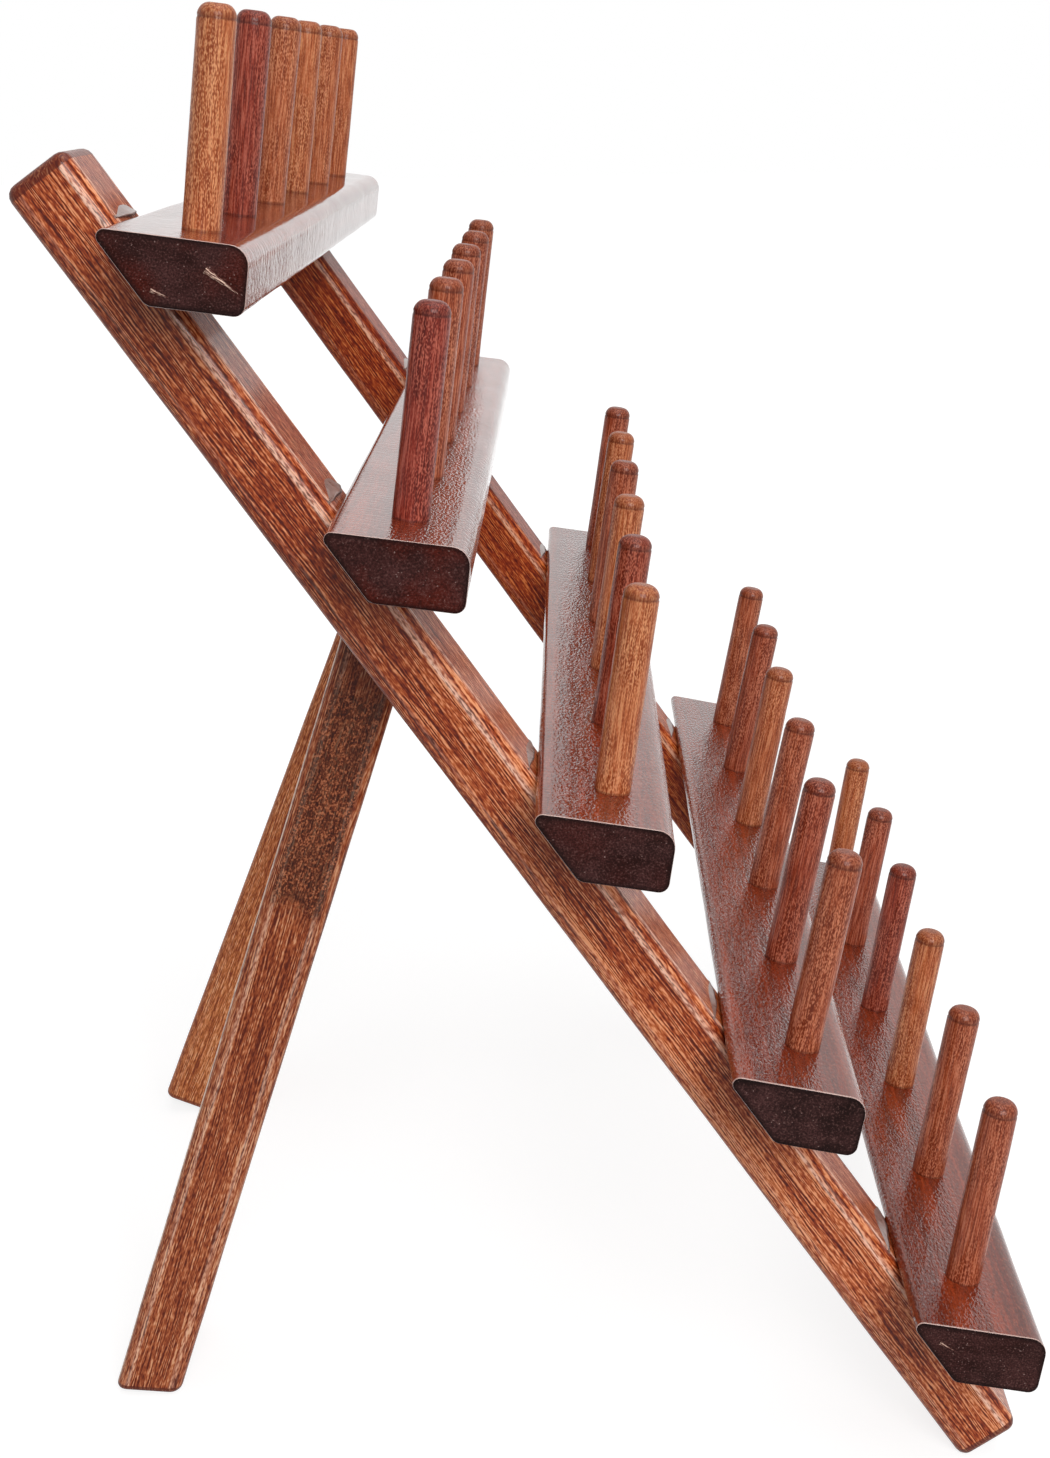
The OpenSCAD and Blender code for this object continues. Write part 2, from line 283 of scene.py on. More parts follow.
def rgb(red, green, blue):
    """A colour given as it looks on a screen, 0 to 255, for a shader's socket."""
    linear = []
    for level in (red, green, blue):
        share = level / 255
        linear.append(share / 12.92 if share <= 0.04045 else ((share + 0.055) / 1.055) ** 2.4)
    return (*linear, 1.0)


def tones(*colours):
    return [rgb(*colour) for colour in colours]


# Tones of the grain, from dark to pale
RAIL_TONES = tones((78, 17, 3), (125, 42, 11), (156, 66, 27), (192, 103, 58), (227, 154, 109))
FAR_RAIL_TONES = tones((78, 14, 1), (116, 33, 5), (140, 48, 11), (170, 72, 26), (210, 119, 62))
LEG_TONES = tones((88, 29, 13), (130, 56, 27), (158, 80, 45), (184, 108, 68), (216, 156, 118))
# The far leg's tones are paler than the near one's: painted light, standing in for the light that falls
# on it
FAR_LEG_LIT_TONES = tones((130, 54, 22), (172, 88, 42), (200, 114, 62), (224, 146, 92), (244, 188, 142))
# Tones of the rough-sawn stretch, and their places
ROUGH_TONES = tones((21, 6, 3), (62, 22, 11), (110, 52, 29), (178, 108, 73))
ROUGH_PLACES = (0.37, 0.47, 0.56, 0.67)
WHITE = rgb(255, 255, 255)


class Nodes:
    """A tree of nodes in the making, with short calls for the nodes that it needs."""

    def __init__(self, tree):
        self.tree = tree

    def set(self, socket, value):
        """Links a socket to another one, or gives it a constant."""
        if isinstance(value, bpy.types.NodeSocket):
            self.tree.links.new(value, socket)
        else:
            socket.default_value = value

    def node(self, kind, inputs, **settings):
        made = self.tree.nodes.new(kind)
        for key, value in settings.items():
            setattr(made, key, value)
        for key, value in inputs.items():
            self.set(made.inputs[key], value)
        return made

    def attribute(self, name):
        """A number that the mesh carries at each of its points."""
        return self.node("ShaderNodeAttribute", {}, attribute_name=name).outputs["Fac"]

    def place(self, kind="Object"):
        """The point in the piece's own frame, or by another kind of coordinates."""
        return self.node("ShaderNodeTexCoord", {}).outputs[kind]

    def seeded_place(self):
        """The point in the piece's own frame, moved by its seed so that no two share a pattern."""
        seed = self.attribute("seed")
        shift = self.node("ShaderNodeCombineXYZ", {"X": seed, "Y": seed, "Z": seed})
        inputs = {0: self.place(), 1: shift.outputs["Vector"]}
        return self.node("ShaderNodeVectorMath", inputs, operation="ADD").outputs["Vector"]

    def split(self, vector):
        """A vector's three parts, by name."""
        return self.node("ShaderNodeSeparateXYZ", {"Vector": vector}).outputs

    def stretch(self, place, factors):
        inputs = {0: place, 1: factors}
        return self.node("ShaderNodeVectorMath", inputs, operation="MULTIPLY").outputs["Vector"]

    def noise(self, place, scale, detail, roughness=0.5):
        inputs = {"Vector": place, "Scale": scale, "Detail": detail, "Roughness": roughness}
        return self.node("ShaderNodeTexNoise", inputs).outputs["Fac"]

    def remap(self, value, low, high, to_low=0.0, to_high=1.0):
        """Maps low..high to to_low..to_high and holds the ends."""
        inputs = {"Value": value, "From Min": low, "From Max": high, "To Min": to_low, "To Max": to_high}
        return self.node("ShaderNodeMapRange", inputs).outputs["Result"]

    def math(self, operation, first, second=0.0):
        return self.node("ShaderNodeMath", {0: first, 1: second}, operation=operation).outputs["Value"]

    def mix(self, share, first, second):
        made = self.node("ShaderNodeMix", {}, data_type="RGBA")
        self.set(made.inputs["Factor"], share)
        self.set(made.inputs[6], first)
        self.set(made.inputs[7], second)
        return made.outputs[2]

    def ramp(self, value, places, colours):
        """Runs through colours as the value passes their places."""
        made = self.node("ShaderNodeValToRGB", {"Fac": value})
        elements = made.color_ramp.elements
        elements.remove(elements[1])
        for number, (place, colour) in enumerate(zip(places, colours)):
            element = elements.new(place) if number else elements[0]
            element.position = place
            element.color = colour
        return made.outputs["Color"]

    def bump(self, height, strength, distance, below=None):
        made = self.node("ShaderNodeBump", {"Height": height, "Strength": strength, "Distance": distance})
        if below is not None:
            self.set(made.inputs["Normal"], below)
        return made.outputs["Normal"]

    def seen(self):
        """1 for what is seen straight, in a reflection or through glass, and 0 for what only lights."""
        rays = self.node("ShaderNodeLightPath", {}).outputs
        seen = self.math("MAXIMUM", rays["Is Camera Ray"], rays["Is Glossy Ray"])
        return self.math("MAXIMUM", seen, rays["Is Transmission Ray"])


class Finish(Nodes):
    """A material in the making."""

    def __init__(self, name):
        self.material = bpy.data.materials.new(name)
        self.material.use_nodes = True
        super().__init__(self.material.node_tree)
        self.shader = self.tree.nodes["Principled BSDF"]

    def finish(self, **sockets):
        """Sets the shader's sockets, named with underscores for blanks."""
        for key, value in sockets.items():
            self.set(self.shader.inputs[key.replace("_", " ")], value)
        return self.material


def stick_wood(name, grain_tones, worn_and_sheen, lining, gloss, paling):
    """Straight-grained stained wood for the rails and legs.

    The lining says how strong the grain's lines are, and the paling how much paler the lower part is.
    """
    f = Finish(name)
    place = f.seeded_place()
    drift = f.noise(f.stretch(place, (1, 1, 0.05)), 420, 2.0)
    strength = f.noise(f.stretch(place, (1, 1, 0.10)), 1500, 1.0)
    grains = f.noise(f.stretch(place, (1, 1, 0.22)), 3000, 1.0)
    bands = f.noise(f.stretch(place, (1, 1, 0.02)), 330, 2.0)
    blotch = f.noise(f.stretch(place, (1, 1, 0.2)), 90, 2.0)
    # Lines along the stick: a wave across it, bent a little and broken up
    parts = f.split(place)
    across = f.math("MULTIPLY", f.math("ADD", parts["X"], parts["Y"]), math.tau / GRAIN_PITCH)
    wave = f.math("SINE", f.math("ADD", across, f.math("MULTIPLY", drift, GRAIN_DRIFT)))
    lines = f.math("MULTIPLY", wave, f.remap(strength, 0.36, 0.60, 0.0, lining))
    along = f.split(f.place())["Z"]
    level = f.math("ADD", lines, f.remap(grains, 0.2, 0.8, 0.27, 0.73))
    level = f.math("ADD", level, f.remap(bands, 0.2, 0.8, -0.10, 0.10))
    level = f.math("ADD", level, f.remap(blotch, 0.2, 0.8, 0.08, -0.08))
    level = f.math("ADD", level, f.remap(along, PALE_FROM, PALE_TO, paling, 0.0))
    colour = f.ramp(level, GRAIN_PLACES, grain_tones)
    # Pale edges, part scuffing and part painted highlight, and stain taken into the ends
    wear_and_sheen = f.math("MULTIPLY", f.attribute("edge"), f.remap(bands, 0.38, 0.54, 0.15, 1.0))
    wear_and_sheen = f.math("MULTIPLY", wear_and_sheen, f.remap(grains, 0.38, 0.56, 0.2, 1.0))
    colour = f.mix(wear_and_sheen, colour, worn_and_sheen)
    colour = f.mix(f.math("MULTIPLY", f.attribute("end_stain_and_sheen"), COVER), colour, grain_tones[0])
    # The rough-sawn stretch: speckled, with darker clumps and a ragged outline
    speckle = f.noise(f.stretch(place, (1, 1, 0.7)), 2700, 1.0)
    clumps = f.noise(f.stretch(place, (1, 1, 0.7)), 380, 2.0)
    rough = f.math("ADD", f.attribute("patch"), f.remap(blotch, 0.35, 0.65, -0.3, 0.3))
    rough = f.remap(f.math("MULTIPLY", rough, f.attribute("patch")), 0.05, 0.6, 0.0, 0.95)
    sawn = f.ramp(speckle, ROUGH_PLACES, ROUGH_TONES)
    sawn = f.mix(f.remap(clumps, 0.50, 0.66, 0.0, 0.5), sawn, rgb(34, 12, 8))
    colour = f.mix(rough, colour, f.mix(0.15, sawn, colour))
    ridges = f.math("ADD", f.math("MULTIPLY", level, 0.5), f.math("MULTIPLY", speckle, rough))
    return f.finish(
        Base_Color=colour,
        Roughness=f.remap(level, 0.3, 0.7, 0.55, 0.38),
        Normal=f.bump(ridges, 0.4, STICK_RELIEF),
        Specular_IOR_Level=0.05,
        Coat_Weight=gloss,
        Coat_Roughness=0.14,
        Coat_Normal=f.bump(ridges, 0.08, STICK_RELIEF),
    )


def shelf_wood():
    """Red-brown wood under a thick, glossy and pebbled varnish."""
    f = Finish("shelf wood")
    place = f.seeded_place()
    fibres = f.noise(f.stretch(place, (1, 1, 0.05)), 1200, 3.0, 0.6)
    bands = f.noise(f.stretch(place, (1, 1, 0.03)), 160, 2.0)
    specks = f.noise(f.stretch(place, (1, 1, 0.35)), 2200, 2.0, 0.6)
    colour = f.mix(f.remap(bands, 0.35, 0.65), rgb(104, 33, 15), rgb(146, 55, 24))
    colour = f.mix(f.remap(fibres, 0.40, 0.62, 0.45, 0.0), colour, rgb(54, 19, 11))
    colour = f.mix(f.remap(specks, 0.55, 0.68, 0.0, 0.4), colour, rgb(46, 15, 9))
    colour = f.mix(f.remap(specks, 0.44, 0.33, 0.0, 0.3), colour, rgb(180, 90, 52))
    colour = f.mix(f.math("MULTIPLY", f.attribute("edge"), 0.15), colour, rgb(150, 88, 64))
    # A pale rim on the roundings next to each end: a painted highlight
    colour = f.mix(f.math("MULTIPLY", f.attribute("end_stain_and_sheen"), COVER), colour, rgb(206, 176, 166))
    # Pebbles between two lines along the shelf, and wrinkles behind them and along the front edge
    forward = f.split(f.place())["X"]
    behind = f.remap(f.math("SUBTRACT", forward, f.attribute("peel_from")), 0.0, PEEL_RAMP)
    past = f.math("SUBTRACT", forward, f.attribute("peel_to"))
    ahead = f.remap(past, 0.0, PEEL_RAMP, 1.0, PEEL_LEAST)
    pebbled = f.math("MULTIPLY", f.math("MULTIPLY", behind, ahead), f.attribute("peel_depth"))
    peel = f.remap(f.noise(f.stretch(place, (1, 1, 0.45)), 1800, 1.0), 0.38, 0.62)
    wrinkles = f.noise(f.stretch(place, (0.3, 0.3, 1)), 1000, 2.0)
    front = f.remap(forward, CREASE_START, CREASE_FULL, 0.0, FRONT_CREASES)
    back = f.math("SUBTRACT", BACK_CREASES, f.math("MULTIPLY", behind, BACK_CREASES))
    creased = f.math("MAXIMUM", front, back)
    waves = f.noise(f.stretch(place, (1, 1, 0.5)), 130, 2.0)
    height = f.math("ADD", f.math("MULTIPLY", peel, pebbled), f.math("MULTIPLY", wrinkles, creased))
    normal = f.bump(waves, 0.25, WAVE_RELIEF, f.bump(height, 1.0, PEEL_RELIEF))
    return f.finish(
        Base_Color=colour,
        Roughness=f.remap(specks, 0.3, 0.7, 0.32, 0.5),
        Normal=normal,
        Specular_IOR_Level=0.02,
        Coat_Weight=1.0,
        Coat_Roughness=0.02,
        Coat_Normal=normal,
    )


def end_wood(name, dark, light):
    """End grain, which has taken up the stain: dark, matt and speckled with pores."""
    f = Finish(name)
    place = f.seeded_place()
    pores = f.noise(place, 2800, 2.0, 0.6)
    rings = f.noise(f.stretch(place, (0.35, 1, 1)), 330, 3.0, 0.6)
    clouds = f.noise(place, 130, 2.0)
    dust = f.noise(place, 2600, 0.0)
    stains = f.noise(place, 75, 2.0)
    tone = f.math("ADD", f.remap(rings, 0.3, 0.7, 0.0, 0.5), f.remap(clouds, 0.36, 0.64, 0.0, 0.5))
    colour = f.mix(tone, dark, light)
    red = f.math("MULTIPLY", f.attribute("tone"), f.remap(stains, 0.36, 0.58, 0.15, 0.95))
    colour = f.mix(red, colour, rgb(88, 26, 14))
    colour = f.mix(f.remap(pores, 0.50, 0.62, 0.0, 0.6), colour, rgb(22, 12, 11))
    colour = f.mix(f.remap(pores, 0.44, 0.32, 0.0, 0.5), colour, rgb(108, 78, 74))
    colour = f.mix(f.remap(dust, 0.80, 0.85, 0.0, 0.55), colour, rgb(170, 140, 134))
    colour = f.mix(f.math("MULTIPLY", f.attribute("border"), COVER), colour, rgb(14, 7, 7))
    return f.finish(
        Base_Color=colour,
        Roughness=f.remap(rings, 0.3, 0.7, 0.5, 0.65),
        Normal=f.bump(pores, 0.4, PORE_RELIEF),
        Specular_IOR_Level=0.05,
    )


def peg_wood():
    """Turned dowel: each peg has a tone of its own, fine flecks, and a darker foot and tip."""
    f = Finish("peg wood")
    place = f.seeded_place()
    lines = f.noise(f.stretch(place, (1, 1, 0.05)), 3400, 0.0)
    grains = f.noise(f.stretch(place, (1, 1, 0.35)), 4800, 0.0)
    cloud = f.noise(f.stretch(place, (1, 1, 0.25)), 170, 2.0)
    coarse = f.remap(cloud, 0.40, 0.58, 0.3, 1.0)
    tone = f.attribute("tone")
    colour = f.mix(tone, rgb(190, 106, 63), rgb(132, 42, 28))
    deep = f.mix(tone, rgb(124, 50, 20), rgb(70, 16, 11))
    pale = f.mix(tone, rgb(234, 168, 118), rgb(200, 110, 90))
    colour = f.mix(f.remap(cloud, 0.40, 0.66, 0.0, 0.3), colour, deep)
    colour = f.mix(f.remap(lines, 0.48, 0.34, 0.0, 0.65), colour, deep)
    colour = f.mix(f.remap(lines, 0.54, 0.68, 0.0, 0.5), colour, pale)
    colour = f.mix(f.math("MULTIPLY", coarse, f.remap(grains, 0.54, 0.66, 0.0, 0.65)), colour, deep)
    colour = f.mix(f.math("MULTIPLY", coarse, f.remap(grains, 0.46, 0.34, 0.0, 0.6)), colour, pale)
    # Darker rings: at the foot, pooled stain and a painted shadow where the peg meets the shelf; darker
    # again at the crease and over the tip
    ringed = f.mix(0.5, deep, rgb(40, 14, 12))
    colour = f.mix(f.math("MULTIPLY", f.attribute("edge"), COVER), colour, ringed)
    fleck = f.math("ADD", grains, lines)
    return f.finish(
        Base_Color=colour,
        Roughness=f.remap(grains, 0.3, 0.7, 0.36, 0.54),
        Normal=f.bump(fleck, 0.35, FLECK_RELIEF),
        Specular_IOR_Level=0.1,
        Coat_Weight=0.25,
        Coat_Roughness=0.14,
        Coat_Normal=f.bump(fleck, 0.1, FLECK_RELIEF),
    )


def glue_finish():
    """Hardened glue and varnish that has run into a corner: glossy and a little clouded."""
    f = Finish("glue")
    cloud = f.noise(f.seeded_place(), 700, 3.0, 0.6)
    colour = f.mix(f.remap(cloud, 0.38, 0.64), rgb(104, 66, 52), rgb(142, 114, 106))
    normal = f.bump(cloud, 0.3, GLUE_RELIEF)
    return f.finish(
        Base_Color=colour,
        Roughness=f.remap(cloud, 0.3, 0.7, 0.25, 0.4),
        Normal=normal,
        Specular_IOR_Level=0.3,
        Coat_Weight=0.5,
        Coat_Roughness=0.12,
        Coat_Normal=normal,
    )


def torn_wood():
    """Bare wood where a splinter has lifted: pale, dry and fibrous, with a dark core."""
    f = Finish("torn wood")
    fibres = f.noise(f.stretch(f.seeded_place(), (1, 1, 0.15)), 4200, 2.0, 0.6)
    colour = f.mix(f.remap(fibres, 0.46, 0.62), rgb(74, 30, 22), rgb(232, 196, 176))
    return f.finish(
        Base_Color=colour,
        Roughness=f.remap(fibres, 0.3, 0.7, 0.6, 0.8),
        Normal=f.bump(fibres, 0.5, TORN_RELIEF),
        Specular_IOR_Level=0.25,
    )


def steel(name, pale, dull, roughness):
    """Plated steel with fine scratches and a little tarnish."""
    f = Finish(name)
    place = f.seeded_place()
    tarnish = f.noise(place, 700, 4.0, 0.6)
    scratches = f.noise(f.stretch(place, (1, 0.08, 1)), 4200, 2.0)
    colour = f.mix(f.remap(tarnish, 0.4, 0.68), pale, dull)
    return f.finish(
        Base_Color=colour,
        Metallic=1.0,
        Roughness=f.remap(tarnish, 0.35, 0.7, roughness, roughness + 0.2),
        Normal=f.bump(scratches, 0.2, SCRATCH_RELIEF),
    )


def rectangle(width, front, back):
    """The corners of a stick's section, anticlockwise from the left front one."""
    half = width / 2
    return [Vector((-half, front)), Vector((half, front)), Vector((half, back)), Vector((-half, back))]


def rounded(corners, radii, wear_and_sheen=(1.0, 1.0, 1.0, 1.0)):
    """A polygon with each corner rounded: its points, and how pale each of them is from scuffing and a
    painted highlight.

    The paling of a corner is greatest where its rounding starts and ends.
    """
    arcs = []
    for i, corner in enumerate(corners):
        back = (corners[i - 1] - corner).normalized()
        ahead = (corners[(i + 1) % len(corners)] - corner).normalized()
        half = back.angle(ahead) / 2
        centre = corner + (back + ahead).normalized() * radii[i] / math.sin(half)
        spoke = corner + back * radii[i] / math.tan(half) - centre
        sweep = math.pi - 2 * half
        arc = []
        for step in range(CORNER_STEPS + 1):
            arc.append(centre + Matrix.Rotation(sweep * step / CORNER_STEPS, 2) @ spoke)
        arcs.append(arc)
    points = []
    worn_and_sheen = []
    for i, arc in enumerate(arcs):
        points += arc
        worn_and_sheen += [wear_and_sheen[i] * abs(2 * step / CORNER_STEPS - 1) ** 3 for step in range(CORNER_STEPS + 1)]
        start = arc[-1]
        end = arcs[(i + 1) % len(arcs)][0]
        length = (end - start).length
        flat = length - 2 * EDGE_REACH
        count = max(1, round(flat / FLAT_STEP))
        for step in range(count + 1):
            along = EDGE_REACH + flat * step / count
            points.append(start.lerp(end, along / length))
            worn_and_sheen.append(0.0)
    return points, worn_and_sheen


def inset(points, distance):
    """The outline moved inwards; its points run anticlockwise."""
    moved = []
    for i, point in enumerate(points):
        along = points[(i + 1) % len(points)] - points[i - 1]
        inwards = Vector((-along.y, along.x)).normalized()
        moved.append(point + inwards * distance)
    return moved


def carry(mesh, name, values):
    """Stores one number for each point of a mesh."""
    mesh.attributes.new(name, "FLOAT", "POINT").data.foreach_set("value", values)


def carry_same(mesh, name, value):
    """Stores the same number for every point of a mesh."""
    carry(mesh, name, [value] * len(mesh.vertices))


def unevenness(mesh, depth, scale, seed):
    """Moves the points of a mesh in and out a little, as hand-sanded wood is."""
    normals = [vertex.normal.copy() for vertex in mesh.vertices]
    shift = Vector((seed, seed, seed))
    for vertex, normal in zip(mesh.vertices, normals):
        vertex.co += normal * depth * noise.noise(vertex.co * scale + shift)


def to_mesh(name, bm):
    mesh = bpy.data.meshes.new(name)
    bm.to_mesh(mesh)
    bm.free()
    return mesh


def loft(name, rings, end_rings=0):
    """A closed mesh through rings of points.

    Its two ends, and so many rings of faces next to them, take the second material.
    """
    bm = bmesh.new()
    made = [[bm.verts.new(point) for point in ring] for ring in rings]
    count = len(rings[0])
    gaps = len(rings) - 1
    for number, (lower, upper) in enumerate(zip(made, made[1:])):
        at_end = min(number, gaps - 1 - number) < end_rings
        for i in range(count):
            j = (i + 1) % count
            face = bm.faces.new((lower[i], lower[j], upper[j], upper[i]))
            face.material_index = 1 if at_end else 0
    for end in (made[0][::-1], made[-1]):
        bm.faces.new(end).material_index = 1
    bm.normal_update()
    return to_mesh(name, bm)


def stick(name, outline, low, high, end_radius, seed, patch=None, end_rings=0, border=0.0):
    """A length of wood with a given section: its outline, and how pale each point of it is from scuffing
    and a painted highlight.

    The heights of its ends, low and high, are functions of the section's point, and so is the patch,
    of a point of the stick. Where a border is given, the end grain has a dark one of that width.
    """
    points, worn_and_sheen = outline
    longest = max(high(point) - low(point) for point in points)
    count = round(longest / RING_STEP)
    fade = END_FADE / longest
    shares = [fade] + [step / count for step in range(1, count)] + [1 - fade]
    layers = []
    if border:
        layers.append((end_radius + border, 0.0))
    for step in range(END_STEPS + 1):
        angle = math.pi / 2 * step / END_STEPS
        layers.append((end_radius * (1 - math.sin(angle)), end_radius * (1 - math.cos(angle))))
    plain = [0.0] * len(points)
    full = [1.0] * len(points)
    rings = []
    edges = []
    # The end layers: dark stain on the rails and legs, a pale painted highlight on the shelves
    end_stain_and_sheen_marks = []
    for inwards, rise in layers:
        rings.append([Vector((p.x, p.y, low(p) + rise)) for p in inset(points, inwards)])
        edges += plain
        end_stain_and_sheen_marks += full
    for share in shares:
        ring = []
        for p in points:
            bottom = low(p) + end_radius
            top = high(p) - end_radius
            ring.append(Vector((p.x, p.y, bottom + (top - bottom) * share)))
        rings.append(ring)
        edges += worn_and_sheen
        end_stain_and_sheen_marks += plain
    for inwards, rise in reversed(layers):
        rings.append([Vector((p.x, p.y, high(p) - rise)) for p in inset(points, inwards)])
        edges += plain
        end_stain_and_sheen_marks += full
    bordered = plain * len(rings)
    if border:
        bordered = plain + full * (len(rings) - 2) + plain
    mesh = loft(name, rings, end_rings)
    carry(mesh, "border", bordered)
    carry(mesh, "edge", edges)
    carry(mesh, "end_stain_and_sheen", end_stain_and_sheen_marks)
    carry(mesh, "patch", [patch(v.co) if patch else 0.0 for v in mesh.vertices])
    unevenness(mesh, WARP_DEPTH, WARP_SCALE, seed)
    return mesh


def circle(radius, height):
    """Points round the Z axis."""
    turns = [2 * math.pi * i / ROUND_STEPS for i in range(ROUND_STEPS)]
    return [(radius * math.cos(turn), radius * math.sin(turn), height) for turn in turns]


def lathe(name, profile):
    """A mesh turned about Z from (radius, height) points, closed with a point at both ends."""
    bm = bmesh.new()
    rings = []
    for radius, height in profile:
        rings.append([bm.verts.new(point) for point in circle(radius, height)])
    for lower, upper in zip(rings, rings[1:]):
        for i in range(ROUND_STEPS):
            j = (i + 1) % ROUND_STEPS
            bm.faces.new((lower[i], lower[j], upper[j], upper[i]))
    for ring, flip in ((rings[0], True), (rings[-1], False)):
        middle = bm.verts.new((0, 0, ring[0].co.z))
        for i in range(ROUND_STEPS):
            j = (i + 1) % ROUND_STEPS
            face = (ring[i], ring[j], middle)
            bm.faces.new(face[::-1] if flip else face)
    bm.normal_update()
    return to_mesh(name, bm)


def slotted_head(name, radius, rise, slot, slot_depth, sunk):
    """A screw's domed head on a surface that Z points out of, with a slot along Y."""
    half = slot / 2
    turn = math.acos(half / radius)
    outer = [(-radius * math.cos(turn * step / HEAD_STEPS), False) for step in range(HEAD_STEPS + 1)]
    slanted = half - SLOT_SLANT
    stations = outer + [(-slanted, True), (slanted, True)] + [(-x, False) for x, _ in reversed(outer)]
    bm = bmesh.new()
    rows = []
    for x, in_slot in stations:
        reach = math.sqrt(max(0.0, radius ** 2 - x ** 2))
        row = []
        for step in range(2 * HEAD_STEPS + 1):
            y = reach * (step / HEAD_STEPS - 1)
            height = HEAD_EDGE + rise * (1 - (x ** 2 + y ** 2) / radius ** 2)
            if in_slot:
                height = min(height, HEAD_EDGE + rise - slot_depth)
            row.append(bm.verts.new((x, y, height)))
        rows.append(row)
    for before, after in zip(rows, rows[1:]):
        for i in range(2 * HEAD_STEPS):
            bm.faces.new((before[i], after[i], after[i + 1], before[i + 1]))
    bmesh.ops.remove_doubles(bm, verts=bm.verts, dist=WELD)
    rim = [side for side in bm.edges if side.is_boundary]
    skirt = bmesh.ops.extrude_edge_only(bm, edges=rim)["geom"]
    for part in skirt:
        if isinstance(part, bmesh.types.BMVert):
            part.co.z = -sunk
    foot = [part for part in skirt if isinstance(part, bmesh.types.BMEdge) and part.is_boundary]
    bmesh.ops.edgeloop_fill(bm, edges=foot)
    bmesh.ops.recalc_face_normals(bm, faces=bm.faces)
    return to_mesh(name, bm)


def shank(name, radius, length):
    """The part of a screw below its head, pointed at the end."""
    return lathe(name, [(radius * SHANK_POINT, -length), (radius, -length + radius), (radius, 0.0)])


def washer(name, inner, outer):
    """A washer on the plane z = 0, with bevelled outer edges."""
    lower = [(inner, 0.0), (outer - WASHER_BEVEL, 0.0), (outer, WASHER_BEVEL)]
    section = lower + [(radius, WASHER_THICK - height) for radius, height in reversed(lower)]
    bm = bmesh.new()
    rings = []
    for radius, height in section:
        rings.append([bm.verts.new(point) for point in circle(radius, height)])
    for ring, following in zip(rings, rings[1:] + rings[:1]):
        for i in range(ROUND_STEPS):
            j = (i + 1) % ROUND_STEPS
            bm.faces.new((ring[i], ring[j], following[j], following[i]))
    bmesh.ops.recalc_face_normals(bm, faces=bm.faces)
    return to_mesh(name, bm)


def gather(name, copies):
    """One mesh of several, each given with its place."""
    bm = bmesh.new()
    for mesh, place in copies:
        known = len(bm.verts)
        bm.from_mesh(mesh)
        bm.verts.ensure_lookup_table()
        bmesh.ops.transform(bm, matrix=place, verts=bm.verts[known:])
    return to_mesh(name, bm)


def add(name, mesh, place, materials, body, seed, nodes=()):
    """Sets a mesh in the rack as a piece that moves with a body and stands for the given nodes."""
    piece = bpy.data.objects.new(name, mesh)
    bpy.context.scene.collection.objects.link(piece)
    for material in materials:
        mesh.materials.append(material)
    mesh.polygons.foreach_set("use_smooth", [True] * len(mesh.polygons))
    carry_same(mesh, "seed", seed)
    weighted = piece.modifiers.new("flat faces stay flat", "WEIGHTED_NORMAL")
    weighted.keep_sharp = True
    piece.matrix_world = place
    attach(piece, body)
    if nodes:
        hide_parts(*nodes)


def frame_at(origin, x_axis, z_axis):
    """The place of a piece whose own X and Z axes point as given."""
    x_axis = Vector(x_axis).normalized()
    z_axis = Vector(z_axis).normalized()
    turn = Matrix((x_axis, z_axis.cross(x_axis), z_axis)).transposed()
    return Matrix.Translation(origin) @ turn.to_4x4()


# The pale edge colour of each stick is part scuffing and part painted highlight
rail_wood = {
    "left": stick_wood("left rail wood", RAIL_TONES, rgb(238, 192, 168), 0.25, 0.4, 0.07),
    "right": stick_wood("right rail wood", FAR_RAIL_TONES, rgb(226, 172, 142), 0.2, 0.2, 0.07),
}
leg_wood = {
    "left": stick_wood("left leg wood", LEG_TONES, rgb(255, 226, 202), 0.22, 0.25, 0.0),
    "right": stick_wood("right leg wood", FAR_LEG_LIT_TONES, rgb(230, 178, 142), 0.18, 0.35, 0.0),
}
stick_end = end_wood("stick end", rgb(84, 40, 27), rgb(126, 68, 46))
shelf_finish = shelf_wood()
shelf_end = end_wood("shelf end", rgb(16, 7, 6), rgb(72, 45, 44))
peg_finish = peg_wood()
glue = glue_finish()
splinter = torn_wood()
screw_steel = steel("screw steel", rgb(206, 200, 188), rgb(150, 140, 122), 0.25)
washer_steel = steel("washer steel", rgb(190, 188, 184), rgb(134, 128, 118), 0.32)

# The rails' frame: up along a rail, out of its front face, and its foot's front corner
up_rail = Vector((0, math.cos(RAIL_ANGLE), math.sin(RAIL_ANGLE)))
out_rail = Vector((0, -math.sin(RAIL_ANGLE), math.cos(RAIL_ANGLE)))
rail_low, rail_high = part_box("left_rail")
foot_y = rail_low.y + RAIL_CORNER * (1 - math.cos(RAIL_ANGLE) - math.sin(RAIL_ANGLE))
foot_z = (RAIL_DEPTH - RAIL_CORNER) * math.cos(RAIL_ANGLE) + RAIL_CORNER * (1 - math.sin(RAIL_ANGLE))


def on_rail(x, up, out):
    return Vector((x, foot_y, foot_z)) + up_rail * up + out_rail * out


def rail_middle(side):
    low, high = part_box(side + "_rail")
    return (low.x + high.x) / 2


def shelf_axes(k):
    """Forwards along a shelf's top, and up along its pegs."""
    up = Vector(mounts[f"spool_peg_{k}_1"]["axis"]).normalized()
    return Vector((1, 0, 0)).cross(up), up


def shelf_up(k):
    return TOP_SHELF_UP - (k - 1) * SHELF_PITCH


